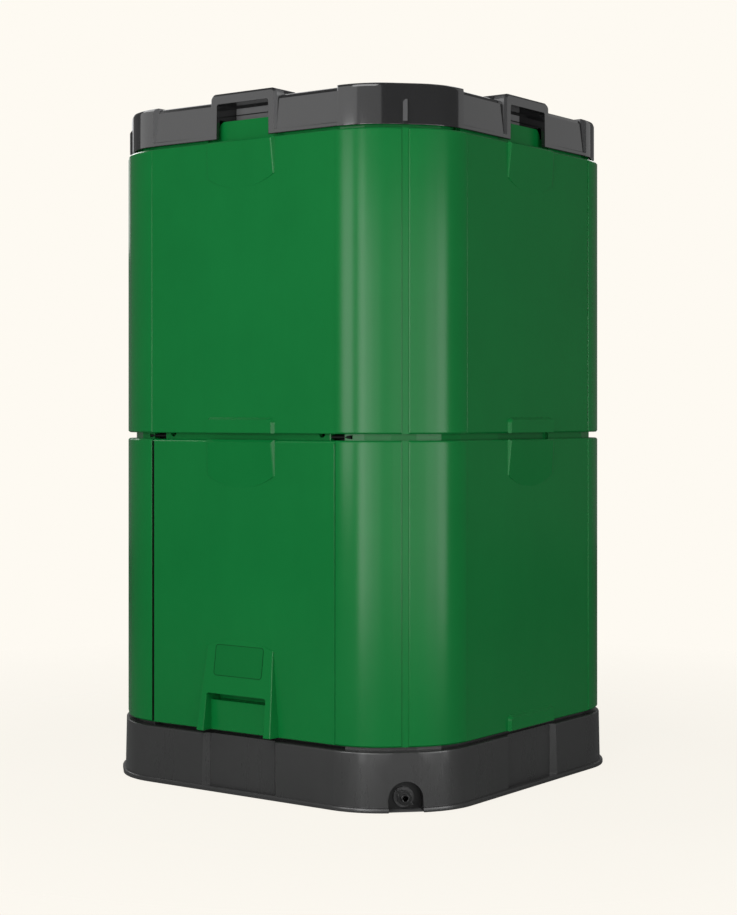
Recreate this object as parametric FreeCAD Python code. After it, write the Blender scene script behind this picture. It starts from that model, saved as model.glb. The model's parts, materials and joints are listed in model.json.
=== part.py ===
"""Insulated garden compost bin: tapped base, two levels of double-wall panels, hung doors, lift-off lid.

Millimetres, +Z up, origin on the ground under the middle of the base. The front door faces -Y.
An inset is a distance measured inwards from the outer face of the walls.
"""
import FreeCAD, Part
import math
import os

V = FreeCAD.Vector
UP = V(0, 0, 1)
MIDDLE = V(0, 0, 0)

# Plan of the body
WALL_HALF = 360.0
CORNER_SPAN = 157.0
CORNER_RADIUS = 127.0
CLEARANCE = 0.3

# Double walls
SKIN = 3.5
WALL_DEPTH = 40.0
FLAT_RECESS = 1.2
WALL_EDGE = 2.5
CORNER_GROOVE_WIDTH = 12.0
CORNER_GROOVE_DEPTH = 2.5
PANEL_HEIGHT = 500.0
LEVEL_GAP = 11.0
PANEL_SIDE_GAP = 1.0
DOOR_SIDE_GAP = 1.5

# Tongues on top of each wall, and the rabbets they enter
TONGUE_OUT = 15.0
TONGUE_STEP_DEPTH = 6.0
TONGUE_RISE = 22.0
TONGUE_END_GAP = 8.0
TONGUE_STEP_MARGIN = 20.0
TONGUE_CLEARANCE = 2.0
TAB_THICKNESS = 7.0
TAB_HALF = 64.0
TAB_RISE = 38.0
TAB_CORNER = 14.0
KEY_LENGTH = 8.0
KEY_DEPTH = 10.0

# Raised pads on each face
PAD_HALF = 75.0
PAD_RISE = 6.0
PAD_DRAFT = 4.0
PAD_HEIGHT = 27.0
PAD_CORNER = 9.0
SCALLOP_HEIGHT = 82.0
SCALLOP_ROUND = 21.0

# Doors
DOOR_EDGE_RADIUS = 6.0
DOOR_PAD_EDGE = 5.0
DOOR_END_GAP = 2.0
DOOR_TONGUE_SETBACK = 20.0
DOOR_TONGUE_RISE = 18.0
DOOR_TONGUE_CREST = 3.0
DOOR_TONGUE_DEPTH = 10.0
DOOR_TONGUE_HEEL = 10.0
TONGUE_HOLE_SETBACK = 18.0
TONGUE_HOLE_RADIUS = 6.5
PIN_RADIUS = 3.0
PIN_GRIP = 9.0
PIN_REACH = 11.0
COWL_HEIGHT = 157.0
COWL_ARCH_RISE = 13.0
COWL_FOOT_HALF = 84.0
COWL_TOP_HALF = 73.0
COWL_DRAFT = 2.5
COWL_RISE = 21.0
FINGER_HALF = 65.5
FINGER_HEIGHT = 65.0
FINGER_CORNER = 5.0
FINGER_SLOT = 13.0
FINGER_DEPTH = 24.0
FINGER_REACH = 17.0
DOOR_STOP_SETBACK = 14.0
DOOR_STOP_RISE = 13.0
DOOR_STOP_GAP = 0.5

# Base
FOOT_RISE = 8.0
FOOT_PROUD = 10.0
FOOT_EDGE = 3.0
SKIRT_FOOT_PROUD = 5.0
SKIRT_TOP_PROUD = 3.0
BASE_RIM = 97.5
BASE_RIM_EDGE = 3.0
BASE_SEAT_RISE = 7.0
BASE_SEAT_LEDGE = 6.0
TRAY_SEAT_DROP = 5.0
TRAY_SEAT_LEDGE = 7.0
BASE_BAND_HALF = 80.0
BASE_BAND_DEPTH = 8.0
BASE_BAND_RUN = 8.0
TRAY_FLOOR = 6.0
GRATE_THICKNESS = 4.0
GRATE_RIB_DEPTH = 14.0
GRATE_RIB_WIDTH = 7.0
GRATE_LEDGE = 2.5
GRATE_SLOT_WIDTH = 7.0
GRATE_SLOT_LENGTH = 150.0
GRATE_BAR_X = 15.0
GRATE_BAR_Y = 27.0

# Tap in the front right corner of the base
TAP_HEIGHT = 21.0
ARCH_HALF = 29.0
ARCH_TOP = 50.0
ARCH_DEPTH = 27.0
TAP_SHANK_RADIUS = 8.0
TAP_BOSS_RADIUS = 13.0
TAP_BOSS_PROUD = 3.0
TAP_FLANGE_RADIUS = 17.0
TAP_FLANGE_THICKNESS = 5.0
TAP_BARREL_RADIUS = 12.0
TAP_BARREL_LENGTH = 5.0
TAP_NOZZLE_RADIUS = 7.0
TAP_NOZZLE_LENGTH = 8.0
TAP_BORE_RADIUS = 4.5
TAP_CAP_LENGTH = 5.0
TAP_SPIGOT_RADIUS = 6.0
TAP_SPIGOT_LENGTH = 6.0
TAP_NUT_ACROSS = 12.0
TAP_NUT_LENGTH = 7.0
LEVER_REACH = 18.0
LEVER_WIDTH = 5.0
LEVER_ANGLE = -45.0

# Aeration core standing over an opening in the grate
CORE_HALF_WIDTH = 160.0
CORE_HALF_DEPTH = 45.0
CORE_HEIGHT = 820.0
CORE_WALL = 4.0
CORE_FOOTING = 8.0
CORE_SLOT_HEIGHT = 14.0
CORE_BAR = 40.0
CORE_SLOT_MARGIN = 25.0
CORE_CAP_RISE = 16.0
CORE_CAP_LAP = 20.0

# Lid
LID_GAP = 6.0
LID_RISE = 72.0
LID_CORNER_STEP = 2.5
LID_SIDE_INSET = 9.0
LID_SIDE_LEAN = 4.0
LID_LIP_PROUD = 3.0
LID_LIP_HEIGHT = 7.0
LID_EDGE = 7.0
LID_CORNER_GAP = 2.0
LID_CORNER_RUN = 8.0
HANDLE_HALF = 73.0
HANDLE_RISE = 84.5
HANDLE_CORNER = 11.0
HANDLE_EDGE = 4.0
HANDLE_DEPTH = 60.0
GRIP_HALF = 57.0
GRIP_CORNER = 4.0
GRIP_BEAM = 18.0
LID_RIB_WIDTH = 8.0
LID_RIB_PROUD = 4.0
LID_RIB_HEIGHT = 44.0
LID_RIB_SLANT = 6.0
SEAL_THICKNESS = 2.0
SEAL_OVERLAP = 1.5
LINER_GAP = 3.0
LINER_FLANGE = 31.0
LINER_RISE = 39.0
LINER_SEAM = 1.5

# Heights and depths that follow from the sizes above
FLAT_HALF = WALL_HALF - CORNER_SPAN
BASE_SEAT = BASE_RIM + BASE_SEAT_RISE
TRAY_SEAT = BASE_SEAT - TRAY_SEAT_DROP
PANEL_LOW = BASE_SEAT
PANEL_TOP = PANEL_LOW + PANEL_HEIGHT
LEVEL_PITCH = PANEL_HEIGHT + LEVEL_GAP
WALL_TOP = PANEL_TOP + LEVEL_PITCH
SHELL_DEPTH = WALL_DEPTH - SKIN
OUTER_SKIN = FLAT_RECESS + SKIN
TONGUE_STEP = TONGUE_OUT + TONGUE_STEP_DEPTH
TONGUE_BACK = TONGUE_STEP + TAB_THICKNESS
TONGUE_STEP_HALF = TAB_HALF + TONGUE_STEP_MARGIN
RABBET_DEPTH = TONGUE_RISE - LEVEL_GAP + TONGUE_CLEARANCE
POCKET_DEPTH = TAB_RISE - LEVEL_GAP + TONGUE_CLEARANCE
KEY_OUT = TONGUE_OUT
KEY_BACK = KEY_OUT + KEY_DEPTH
DOOR_TONGUE_HALF = FLAT_HALF - DOOR_TONGUE_SETBACK
DOOR_TONGUE_BACK = TONGUE_OUT + DOOR_TONGUE_DEPTH
PIN_INSET = TONGUE_OUT + DOOR_TONGUE_DEPTH / 2
PIN_Z = PANEL_TOP + LEVEL_GAP / 2
BASE_SEAT_OUT = TONGUE_BACK + TONGUE_CLEARANCE
BASE_SEAT_BACK = WALL_DEPTH + BASE_SEAT_LEDGE
TRAY_SEAT_BACK = BASE_SEAT_BACK + TRAY_SEAT_LEDGE
TRAY_OUT = TRAY_SEAT_BACK + CLEARANCE
TRAY_BACK = TRAY_OUT + SKIN
GRATE_LOW = TRAY_SEAT + SKIN
GRATE_TOP = GRATE_LOW + GRATE_THICKNESS
LID_LOW = WALL_TOP + LID_GAP
LID_TOP = WALL_TOP + LID_RISE
LID_HIGH = LID_TOP + LID_CORNER_STEP
LID_OUT = LID_SIDE_INSET - LID_LIP_PROUD
LID_SIDE_TOP = LID_SIDE_INSET + LID_SIDE_LEAN
HANDLE_TOP = WALL_TOP + HANDLE_RISE
GRIP_TOP = HANDLE_TOP - GRIP_BEAM
SEAL_LOW = WALL_TOP + LEVEL_GAP
LINER_LOW = SEAL_LOW + SEAL_THICKNESS
LINER_TOP = LINER_LOW + LINER_RISE
LINER_OUT = TONGUE_BACK + LINER_GAP
LINER_BACK = LINER_OUT + LINER_FLANGE


def corner_reach(inset):
    """Distance from the middle of the bin to the corner flat, along the diagonal."""
    return (FLAT_HALF + WALL_HALF - CORNER_RADIUS) / math.sqrt(2) + CORNER_RADIUS - inset


def outline(inset, z, flat_bends=False):
    """Closed plan outline: four sides joined by corners of two bends with a short flat between."""
    half = WALL_HALF - inset
    radius = CORNER_RADIUS - inset
    near = V(FLAT_HALF, radius - half, z)
    far = V(half - radius, -FLAT_HALF, z)

    def bend(centre, start):
        points = []
        for degrees in (start, start + 22.5, start + 45):
            angle = math.radians(degrees)
            points.append(centre + V(radius * math.cos(angle), radius * math.sin(angle), 0))
        if flat_bends:
            return [Part.LineSegment(points[0], points[1]), Part.LineSegment(points[1], points[2])]
        return [Part.Arc(*points)]

    side = [Part.LineSegment(V(-FLAT_HALF, -half, z), V(FLAT_HALF, -half, z))] + bend(near, -90)
    bends = bend(far, -45)
    side += [Part.LineSegment(side[-1].EndPoint, bends[0].StartPoint)] + bends
    edges = []
    for turn in range(4):
        for curve in side:
            edges.append(turned(curve.toShape(), turn))
    return Part.Wire(edges)


def turned(shape, quarters):
    """Copy of a shape turned about the bin's middle by quarter turns."""
    copy = shape.copy()
    copy.rotate(MIDDLE, UP, 90 * quarters)
    return copy


def all_sides(shape):
    """The same feature on the four sides."""
    return [turned(shape, quarters) for quarters in range(4)]


def front_and_rear(shape):
    """A feature at the front end of a corner wall and its mirror image at the rear end."""
    return [shape, shape.mirror(MIDDLE, V(0, 1, 0))]


def block(inset, low, high):
    """Solid inside the plan outline between two heights; inside the outer shells its bends are flats."""
    inside = inset >= TONGUE_OUT - TONGUE_CLEARANCE
    return Part.Face(outline(inset, low, inside)).extrude(V(0, 0, high - low))


def ring(out, back, low, high):
    """Wall all round between two insets."""
    return block(out, low, high).cut(block(back, low, high))


def face_box(left, right, out, back, low, high):
    """Box on the front face between two insets."""
    return Part.makeBox(right - left, back - out, high - low, V(left, out - WALL_HALF, low))


def right_of(shape, end):
    """Part of a shape to the right of one X, round the right side of the bin."""
    half = WALL_HALF + FOOT_PROUD
    return shape.common(Part.makeBox(half - end, 2 * half, HANDLE_TOP, V(end, -half, 0)))


def corner_ring(out, back, low, high, end):
    """Wall round the right side that ends at the same X on the front and the rear."""
    return right_of(ring(out, back, low, high), end)


def eased_block(foot, top, low, high, edge):
    """Solid whose sides lean from one inset to another and whose top edge is rounded off in two flats."""
    bend = edge * (1 - math.sqrt(0.5))
    return Part.makeLoft([outline(foot, low), outline(top, high - edge), outline(top + bend, high - bend),
                          outline(top + edge, high)], True, True)


def wall_block():
    """Solid of one level of walls with bevelled top and bottom edges."""
    return Part.makeLoft([outline(WALL_EDGE, PANEL_LOW), outline(0, PANEL_LOW + WALL_EDGE),
                          outline(0, PANEL_TOP - WALL_EDGE), outline(WALL_EDGE, PANEL_TOP)], True, True)


def front_wire(curves, inset):
    """Closed front-view outline, drawn at Y = 0, moved to an inset."""
    wire = Part.Wire([curve.toShape() for curve in curves])
    wire.translate(V(0, inset - WALL_HALF, 0))
    return wire


def front_prism(curves, out, back):
    """Extrude a closed front-view outline between two insets."""
    return Part.Face(front_wire(curves, out)).extrude(V(0, back - out, 0))


def drafted_pad(foot, crest):
    """Raised pad on a flat with slanting sides, from its outline at the foot to that at the crest."""
    crest_wire = front_wire(crest, FLAT_RECESS - PAD_RISE)
    return Part.makeLoft([front_wire(foot, FLAT_RECESS), crest_wire], True, True)


def side_prism(points, left, right):
    """Extrude a polygon of (inset, height) points along X."""
    corners = [V(left, inset - WALL_HALF, z) for inset, z in points]
    return Part.Face(Part.makePolygon(corners + corners[:1])).extrude(V(right - left, 0, 0))


def rounded_top(half, low, high, radius):
    """Front-view outline of a plate with two rounded top corners."""
    bend = radius * (1 - math.sqrt(0.5))
    return [
        Part.LineSegment(V(-half, 0, low), V(half, 0, low)),
        Part.LineSegment(V(half, 0, low), V(half, 0, high - radius)),
        Part.Arc(V(half, 0, high - radius), V(half - bend, 0, high - bend), V(half - radius, 0, high)),
        Part.LineSegment(V(half - radius, 0, high), V(radius - half, 0, high)),
        Part.Arc(V(radius - half, 0, high), V(bend - half, 0, high - bend), V(-half, 0, high - radius)),
        Part.LineSegment(V(-half, 0, high - radius), V(-half, 0, low)),
    ]


def edges_at(shape, z):
    """Edges that lie at one height."""
    return [edge for edge in shape.Edges if all(abs(vertex.Z - z) < 0.01 for vertex in edge.Vertexes)]


def scallop(edge):
    """Raised pad under the bevelled top edge, proud at the top and flush at its U-shaped foot."""
    foot = PANEL_TOP - SCALLOP_HEIGHT

    def u_shape(shrink):
        half = PAD_HALF - shrink
        side = foot + SCALLOP_ROUND
        return [
            Part.LineSegment(V(-half, 0, side), V(-half, 0, PANEL_TOP)),
            Part.LineSegment(V(-half, 0, PANEL_TOP), V(half, 0, PANEL_TOP)),
            Part.LineSegment(V(half, 0, PANEL_TOP), V(half, 0, side)),
            Part.Arc(V(half, 0, side), V(0, 0, foot + shrink), V(-half, 0, side)),
        ]

    proud = FLAT_RECESS - PAD_RISE
    wedge = [(proud, PANEL_TOP - edge), (proud + edge, PANEL_TOP),
             (FLAT_RECESS, PANEL_TOP), (FLAT_RECESS, foot)]
    return drafted_pad(u_shape(0), u_shape(PAD_DRAFT)).common(side_prism(wedge, -PAD_HALF, PAD_HALF))


def bottom_pad():
    """Raised pad along the bottom edge."""
    top = PANEL_LOW + PAD_HEIGHT
    return drafted_pad(rounded_top(PAD_HALF, PANEL_LOW, top, PAD_CORNER),
                       rounded_top(PAD_HALF - PAD_DRAFT, PANEL_LOW, top - PAD_DRAFT, PAD_CORNER - PAD_DRAFT))


def tab():
    """Locating tab that stands above the middle of a wall."""
    plate = rounded_top(TAB_HALF, PANEL_TOP, PANEL_TOP + TAB_RISE, TAB_CORNER)
    return front_prism(plate, TONGUE_STEP, TONGUE_BACK)


def tab_pocket():
    """Pocket in a wall's bottom edge for the tab of the wall below."""
    half = TAB_HALF + TONGUE_CLEARANCE
    return face_box(-half, half, TONGUE_STEP - TONGUE_CLEARANCE, TONGUE_BACK + TONGUE_CLEARANCE,
                    PANEL_LOW, PANEL_LOW + POCKET_DEPTH)


def tongue_step():
    """Step in the tongue in front of the tab, behind the lid's grip opening."""
    return face_box(-TONGUE_STEP_HALF, TONGUE_STEP_HALF, 0, TONGUE_STEP, PANEL_TOP, PANEL_TOP + TONGUE_RISE)


def corner_wall():
    """Right-hand corner wall: outer shell, foam and inner skin."""
    cavity_end = FLAT_HALF + KEY_LENGTH + PANEL_SIDE_GAP + SKIN
    cavity_low = PANEL_LOW + POCKET_DEPTH + SKIN
    cavity_top = PANEL_TOP - SKIN
    outer = right_of(wall_block().cut(block(SHELL_DEPTH, PANEL_LOW, PANEL_TOP)), FLAT_HALF)
    outer = outer.cut(corner_ring(OUTER_SKIN, SHELL_DEPTH, cavity_low, cavity_top, cavity_end))
    flat = face_box(-FLAT_HALF, FLAT_HALF, -PAD_RISE, FLAT_RECESS, PANEL_LOW, PANEL_TOP)
    outer = outer.cut(turned(flat, 1))
    tongue = corner_ring(TONGUE_OUT, TONGUE_BACK, PANEL_TOP, PANEL_TOP + TONGUE_RISE,
                         FLAT_HALF + TONGUE_END_GAP)
    tongue = tongue.cut(turned(tongue_step(), 1))
    outer = outer.fuse([tongue] + [turned(pad, 1) for pad in (scallop(WALL_EDGE), bottom_pad(), tab())])
    rabbet = corner_ring(TONGUE_OUT - TONGUE_CLEARANCE, TONGUE_BACK + TONGUE_CLEARANCE,
                         PANEL_LOW, PANEL_LOW + RABBET_DEPTH, FLAT_HALF)
    key_way = face_box(FLAT_HALF, FLAT_HALF + KEY_LENGTH + PANEL_SIDE_GAP, KEY_OUT - PANEL_SIDE_GAP,
                       KEY_BACK + PANEL_SIDE_GAP, PANEL_LOW, PANEL_TOP)
    groove = Part.makeBox(CORNER_GROOVE_DEPTH, CORNER_GROOVE_WIDTH, PANEL_HEIGHT,
                          V(corner_reach(CORNER_GROOVE_DEPTH), -CORNER_GROOVE_WIDTH / 2, PANEL_LOW))
    groove.rotate(MIDDLE, UP, -45)
    socket = Part.makeCylinder(PIN_RADIUS + CLEARANCE, PIN_REACH + PIN_RADIUS,
                               V(FLAT_HALF + TONGUE_END_GAP, PIN_INSET - WALL_HALF, PIN_Z), V(1, 0, 0))
    cuts = [rabbet, turned(tab_pocket(), 1)]
    for feature in (key_way, groove, socket):
        cuts += front_and_rear(feature)
    outer = outer.cut(cuts).removeSplitter()
    foam = corner_ring(OUTER_SKIN + CLEARANCE, SHELL_DEPTH - CLEARANCE, cavity_low + CLEARANCE,
                       cavity_top - CLEARANCE, cavity_end + CLEARANCE)
    inner = corner_ring(SHELL_DEPTH, WALL_DEPTH, PANEL_LOW, PANEL_TOP + LEVEL_GAP, FLAT_HALF)
    return {"outer": outer, "foam": foam, "inner": inner}


def flat_panel():
    """Fixed flat panel between two corner walls, drawn on the front face of the lower level."""
    half = FLAT_HALF - PANEL_SIDE_GAP
    cavity_low = PANEL_LOW + POCKET_DEPTH + SKIN
    cavity_top = PANEL_TOP - SKIN
    cavity_half = half - SKIN
    outer = side_prism([(FLAT_RECESS + WALL_EDGE, PANEL_LOW), (FLAT_RECESS, PANEL_LOW + WALL_EDGE),
                        (FLAT_RECESS, PANEL_TOP - WALL_EDGE), (FLAT_RECESS + WALL_EDGE, PANEL_TOP),
                        (SHELL_DEPTH, PANEL_TOP), (SHELL_DEPTH, PANEL_LOW)], -half, half)
    outer = outer.cut(face_box(-cavity_half, cavity_half, OUTER_SKIN, SHELL_DEPTH, cavity_low, cavity_top))
    tongue = face_box(-half, half, TONGUE_OUT, TONGUE_BACK, PANEL_TOP, PANEL_TOP + TONGUE_RISE)
    keys = [face_box(-half - KEY_LENGTH, -half, KEY_OUT, KEY_BACK, PANEL_LOW + RABBET_DEPTH, PANEL_TOP),
            face_box(half, half + KEY_LENGTH, KEY_OUT, KEY_BACK, PANEL_LOW + RABBET_DEPTH, PANEL_TOP)]
    outer = outer.fuse([tongue.cut(tongue_step()), scallop(WALL_EDGE), bottom_pad(), tab()] + keys)
    rabbet = face_box(-half, half, TONGUE_OUT - TONGUE_CLEARANCE, TONGUE_BACK + TONGUE_CLEARANCE,
                      PANEL_LOW, PANEL_LOW + RABBET_DEPTH)
    outer = outer.cut([rabbet, tab_pocket()]).removeSplitter()
    foam = face_box(CLEARANCE - cavity_half, cavity_half - CLEARANCE, OUTER_SKIN + CLEARANCE,
                    SHELL_DEPTH - CLEARANCE, cavity_low + CLEARANCE, cavity_top - CLEARANCE)
    inner = face_box(-half, half, SHELL_DEPTH, WALL_DEPTH, PANEL_LOW, PANEL_TOP + LEVEL_GAP)
    return {"outer": outer, "foam": foam, "inner": inner}


def cowl():
    """Scooped handle cowl: flush at its arched top, widest and most proud at the foot of the door."""
    foot = PANEL_LOW

    def arch(inset, shrink):
        crown = foot + COWL_HEIGHT - shrink
        shoulder = crown - COWL_ARCH_RISE
        y = inset - WALL_HALF
        base_half = COWL_FOOT_HALF - shrink
        top_half = COWL_TOP_HALF - shrink
        return Part.Wire([curve.toShape() for curve in (
            Part.LineSegment(V(-base_half, y, foot), V(base_half, y, foot)),
            Part.LineSegment(V(base_half, y, foot), V(top_half, y, shoulder)),
            Part.Arc(V(top_half, y, shoulder), V(0, y, crown), V(-top_half, y, shoulder)),
            Part.LineSegment(V(-top_half, y, shoulder), V(-base_half, y, foot)),
        )])

    proud = FLAT_RECESS - COWL_RISE
    mass = Part.makeLoft([arch(FLAT_RECESS, 0), arch(proud, COWL_DRAFT)], True, True)
    slope = [(proud, foot), (FLAT_RECESS, foot), (FLAT_RECESS, foot + COWL_HEIGHT)]
    mass = mass.common(side_prism(slope, -COWL_FOOT_HALF, COWL_FOOT_HALF))
    backing = face_box(-COWL_TOP_HALF, COWL_TOP_HALF, FLAT_RECESS, OUTER_SKIN, foot,
                       foot + COWL_HEIGHT - COWL_ARCH_RISE)
    return mass.fuse(backing)


def door():
    """Front door: shell with handle, foam, inner skin and pivot pins."""
    half = FLAT_HALF - DOOR_SIDE_GAP
    cavity_half = half - SKIN
    cavity_low = PANEL_LOW + DOOR_END_GAP + SKIN
    cavity_top = PANEL_TOP - SKIN
    shell = face_box(-half, half, FLAT_RECESS, SHELL_DEPTH, PANEL_LOW, PANEL_TOP)
    front_top = [edge for edge in edges_at(shell, PANEL_TOP)
                 if abs(edge.CenterOfMass.y - (FLAT_RECESS - WALL_HALF)) < CLEARANCE]
    shell = shell.makeFillet(DOOR_EDGE_RADIUS, front_top)
    cavity = face_box(-cavity_half, cavity_half, OUTER_SKIN, SHELL_DEPTH, cavity_low, cavity_top)
    mouth_top = PANEL_LOW + FINGER_HEIGHT
    sill = mouth_top - FINGER_SLOT
    pocket_top = mouth_top + FINGER_REACH
    pocket_back = FLAT_RECESS + FINGER_DEPTH
    pocket = face_box(-FINGER_HALF, FINGER_HALF, FLAT_RECESS, pocket_back, sill, pocket_top)
    pocket_wall = face_box(-FINGER_HALF - SKIN, FINGER_HALF + SKIN, FLAT_RECESS, pocket_back + SKIN,
                           sill - SKIN, pocket_top + SKIN)
    mouth = rounded_top(FINGER_HALF, PANEL_LOW, mouth_top, FINGER_CORNER)
    mouth = front_prism(mouth, FLAT_RECESS - COWL_RISE, FLAT_RECESS)
    crest = PANEL_TOP + DOOR_TONGUE_RISE
    tongue = side_prism([
        (TONGUE_OUT, PANEL_TOP), (TONGUE_OUT, crest), (TONGUE_OUT + DOOR_TONGUE_CREST, crest),
        (DOOR_TONGUE_BACK, PANEL_TOP + DOOR_TONGUE_HEEL), (DOOR_TONGUE_BACK, PANEL_TOP),
    ], -DOOR_TONGUE_HALF, DOOR_TONGUE_HALF)
    sill_gap = face_box(-half, half, BASE_SEAT_OUT - DOOR_END_GAP, SHELL_DEPTH, PANEL_LOW,
                        PANEL_LOW + DOOR_END_GAP)
    outer = shell.cut([cavity, sill_gap]).fuse([scallop(DOOR_PAD_EDGE), cowl(), pocket_wall, tongue])
    axis_y = PIN_INSET - WALL_HALF
    pins = []
    cuts = [mouth, pocket]
    for side in (-1, 1):
        start = V(side * (DOOR_TONGUE_HALF - PIN_GRIP), axis_y, PIN_Z)
        reach = FLAT_HALF + TONGUE_END_GAP + PIN_REACH - DOOR_TONGUE_HALF + PIN_GRIP
        along = V(side, 0, 0)
        pins.append(Part.makeCylinder(PIN_RADIUS, reach, start, along))
        cuts.append(Part.makeCylinder(PIN_RADIUS + CLEARANCE / 2, reach, start, along))
        cuts.append(Part.makeCylinder(TONGUE_HOLE_RADIUS, DOOR_TONGUE_BACK - TONGUE_OUT,
                                      V(side * (DOOR_TONGUE_HALF - TONGUE_HOLE_SETBACK),
                                        TONGUE_OUT - WALL_HALF, PANEL_TOP + LEVEL_GAP),
                                      V(0, 1, 0)))
    outer = outer.cut(cuts).removeSplitter()
    foam = face_box(CLEARANCE - cavity_half, cavity_half - CLEARANCE, OUTER_SKIN + CLEARANCE,
                    SHELL_DEPTH - CLEARANCE, cavity_low + CLEARANCE, cavity_top - CLEARANCE)
    foam = foam.cut(face_box(-FINGER_HALF - SKIN - CLEARANCE, FINGER_HALF + SKIN + CLEARANCE, FLAT_RECESS,
                             pocket_back + SKIN + CLEARANCE, sill - SKIN - CLEARANCE,
                             pocket_top + SKIN + CLEARANCE))
    inner = face_box(-half, half, SHELL_DEPTH, WALL_DEPTH, PANEL_LOW + DOOR_END_GAP,
                     PANEL_TOP + LEVEL_GAP - DOOR_END_GAP)
    return {"outer": outer, "foam": foam, "inner": inner, "pivot_pins": Part.makeCompound(pins)}


def arch_prism(grow, start, end):
    """Arched recess on the diagonal of the front right corner, grown by a wall."""
    half = ARCH_HALF + grow
    spring = ARCH_TOP - ARCH_HALF
    wire = Part.Wire([curve.toShape() for curve in (
        Part.LineSegment(V(start, -half, 0), V(start, half, 0)),
        Part.LineSegment(V(start, half, 0), V(start, half, spring)),
        Part.Arc(V(start, half, spring), V(start, 0, spring + half), V(start, -half, spring)),
        Part.LineSegment(V(start, -half, spring), V(start, -half, 0)),
    )])
    prism = Part.Face(wire).extrude(V(end - start, 0, 0))
    prism.rotate(MIDDLE, UP, -45)
    return prism


def arch_back():
    """Distance along the diagonal to the back of the tap recess."""
    return corner_reach(-SKIRT_FOOT_PROUD) - ARCH_DEPTH


def tap_seat():
    """Distance along the diagonal to the boss face inside the tray, where the tap's nut bears."""
    return corner_reach(TRAY_BACK) - TAP_BOSS_PROUD


def on_tap_axis(radius, start, end):
    """Cylinder on the tap's axis between two distances along the diagonal."""
    outward = V(math.sqrt(0.5), -math.sqrt(0.5), 0)
    return Part.makeCylinder(radius, end - start, outward * start + V(0, 0, TAP_HEIGHT), outward)


def base_band(depth, margin, low):
    """Recess in the middle of a base side, with slanting ends."""
    spread = BASE_BAND_RUN / BASE_BAND_DEPTH
    floor = BASE_BAND_HALF + margin - BASE_BAND_RUN
    mouth = floor + (depth + FOOT_PROUD) * spread
    corners = [V(-mouth, -FOOT_PROUD - WALL_HALF, low), V(mouth, -FOOT_PROUD - WALL_HALF, low),
               V(floor, depth - WALL_HALF, low), V(-floor, depth - WALL_HALF, low)]
    face = Part.Face(Part.makePolygon(corners + corners[:1]))
    return face.extrude(V(0, 0, BASE_RIM - low))


def base_shell():
    """Base moulding: foot, drafted skirt, rim, seats, wall tongues, door stops and tap recess."""
    foot = eased_block(-FOOT_PROUD, -FOOT_PROUD, 0, FOOT_RISE, FOOT_EDGE)
    skirt = eased_block(-SKIRT_FOOT_PROUD, -SKIRT_TOP_PROUD, 0, BASE_RIM, BASE_RIM_EDGE)
    shell = skirt.fuse(foot)
    band_depth = BASE_BAND_DEPTH - SKIRT_TOP_PROUD
    shell = shell.cut(all_sides(base_band(band_depth, 0, FOOT_RISE)))
    roof = BASE_RIM - SKIN
    hollow = block(SKIN - SKIRT_TOP_PROUD, 0, roof).cut(all_sides(base_band(band_depth + SKIN, SKIN, 0)))
    shell = shell.cut([hollow, block(TRAY_SEAT_BACK, 0, BASE_RIM)])
    seat = ring(BASE_SEAT_OUT, BASE_SEAT_BACK, roof, BASE_SEAT)
    tray_seat = ring(BASE_SEAT_BACK, TRAY_SEAT_BACK, roof, TRAY_SEAT)
    tongue = ring(TONGUE_OUT, TONGUE_BACK, BASE_RIM, BASE_SEAT + RABBET_DEPTH - TONGUE_CLEARANCE)
    way = FLAT_HALF + TONGUE_END_GAP
    doorway = Part.makeBox(2 * way, 2 * WALL_HALF, WALL_DEPTH, V(-way, -WALL_HALF, BASE_RIM))
    stop_out = WALL_DEPTH + DOOR_STOP_GAP
    stop_half = FLAT_HALF - DOOR_STOP_SETBACK
    stop = face_box(-stop_half, stop_half, stop_out, stop_out + SKIN, BASE_SEAT, BASE_SEAT + DOOR_STOP_RISE)
    shell = shell.fuse([seat, tray_seat, tongue.cut(doorway), stop, turned(stop, 2)])
    back = arch_back()
    outside = corner_reach(-FOOT_PROUD)
    surround = arch_prism(SKIN, back - SKIN, outside).common(skirt)
    shell = shell.fuse(surround).cut(arch_prism(0, back, outside))
    return shell.cut(on_tap_axis(TAP_SHANK_RADIUS + CLEARANCE, back - SKIN, back)).removeSplitter()


def reservoir_tray():
    """Tray that hangs in the base and collects the liquid, with a boss for the tap's shank."""
    tray = block(TRAY_OUT, TRAY_FLOOR, GRATE_LOW)
    tray = tray.fuse(ring(BASE_SEAT_BACK + CLEARANCE, TRAY_OUT, TRAY_SEAT, GRATE_LOW))
    tray = tray.cut(block(TRAY_BACK, TRAY_FLOOR + SKIN, GRATE_LOW))
    inside = tap_seat()
    tray = tray.fuse(on_tap_axis(TAP_BOSS_RADIUS, inside, arch_back() - SKIN - CLEARANCE))
    return tray.cut(on_tap_axis(TAP_SHANK_RADIUS + CLEARANCE, inside, arch_back())).removeSplitter()


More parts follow.
